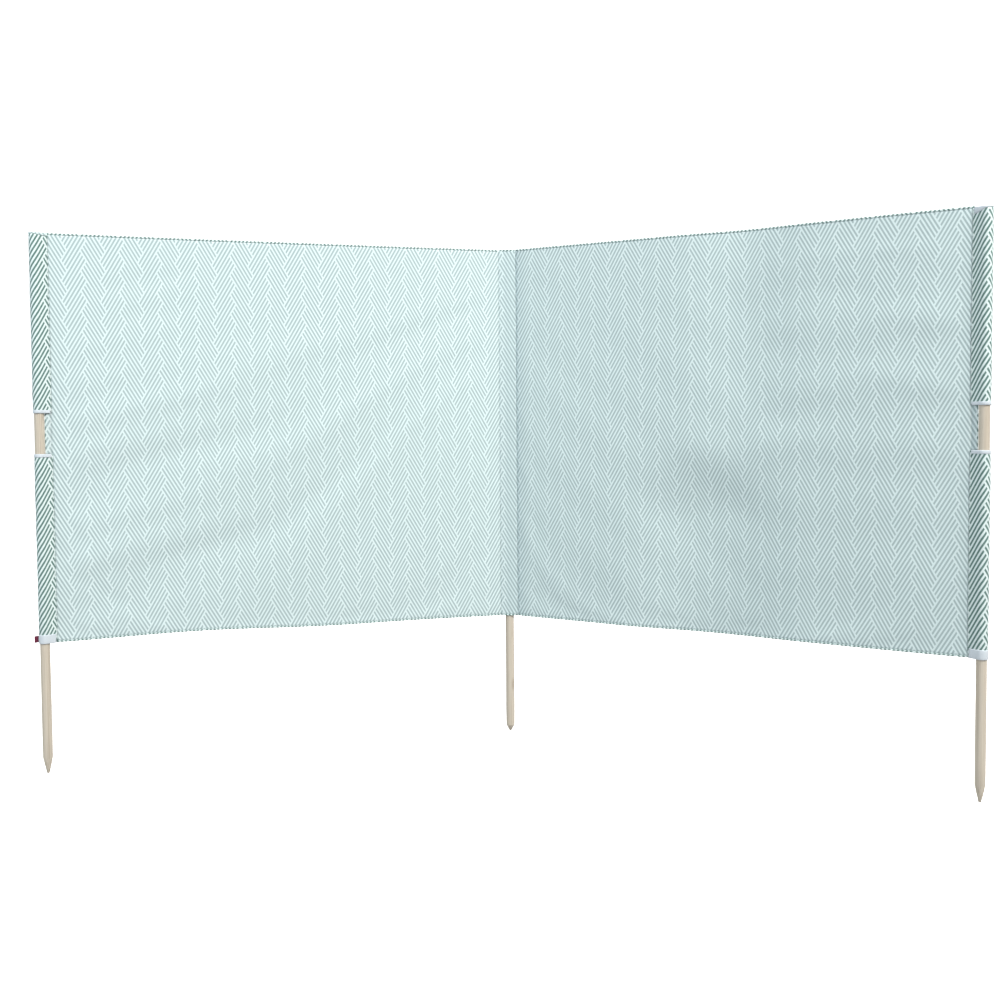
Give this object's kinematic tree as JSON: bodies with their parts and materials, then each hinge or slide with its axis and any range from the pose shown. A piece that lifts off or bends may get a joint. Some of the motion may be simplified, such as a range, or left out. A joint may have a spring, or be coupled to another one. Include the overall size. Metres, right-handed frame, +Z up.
{
  "type": "beach windbreak",
  "caption": "Two-bay fabric windbreak on three pointed round wooden posts held in sewn sleeves, folding at the middle post.",
  "frame": {"origin": "centre of the flat tip of the middle post", "axes": "+Z up along the middle post, +X across the windbreak towards the right bay, -Y towards the hollow side"},
  "size_m": [2.6849, 0.5935, 1.588],
  "materials": {
    "wood": "bare turned pine",
    "panel_cloth": "matt woven cotton, reverse of the print",
    "sleeve_cloth": "matt woven cotton, printed side",
    "white_tape": "matt woven tape",
    "tag_cloth": "woven satin tag"
  },
  "bodies": {
    "middle_unit": {"post_middle": "wood", "middle_cloth": "panel_cloth", "top_hem_middle": "panel_cloth", "bottom_hem_middle": "panel_cloth", "upper_sleeve_middle": "sleeve_cloth", "lower_sleeve_middle": "sleeve_cloth", "sleeve_top_middle": "sleeve_cloth", "upper_tape_middle": "white_tape", "lower_tape_middle": "white_tape", "foot_band_middle": "white_tape"},
    "left_bay": {"post_left": "wood", "panel_left": "panel_cloth", "top_hem_left": "panel_cloth", "bottom_hem_left": "panel_cloth", "notch_hem_left": "panel_cloth", "upper_sleeve_left": "sleeve_cloth", "lower_sleeve_left": "sleeve_cloth", "sleeve_top_left": "sleeve_cloth", "upper_tape_left": "white_tape", "lower_tape_left": "white_tape", "foot_band_left": "white_tape", "side_tag": "tag_cloth"},
    "right_bay": {"post_right": "wood", "panel_right": "panel_cloth", "top_hem_right": "panel_cloth", "bottom_hem_right": "panel_cloth", "notch_hem_right": "panel_cloth", "upper_sleeve_right": "sleeve_cloth", "lower_sleeve_right": "sleeve_cloth", "sleeve_top_right": "sleeve_cloth", "upper_tape_right": "white_tape", "lower_tape_right": "white_tape", "foot_band_right": "white_tape"}
  },
  "joints": [
    {"name": "left_bay_fold", "type": "hinge", "parent": "middle_unit", "child": "left_bay", "pos_m": [-0.02762, -0.01172, 0.988], "axis": [0, 0, 1], "range_deg": [-113, 67]},
    {"name": "right_bay_fold", "type": "hinge", "parent": "middle_unit", "child": "right_bay", "pos_m": [0.02762, -0.01172, 0.988], "axis": [0, 0, -1], "range_deg": [-113, 67]}
  ]
}
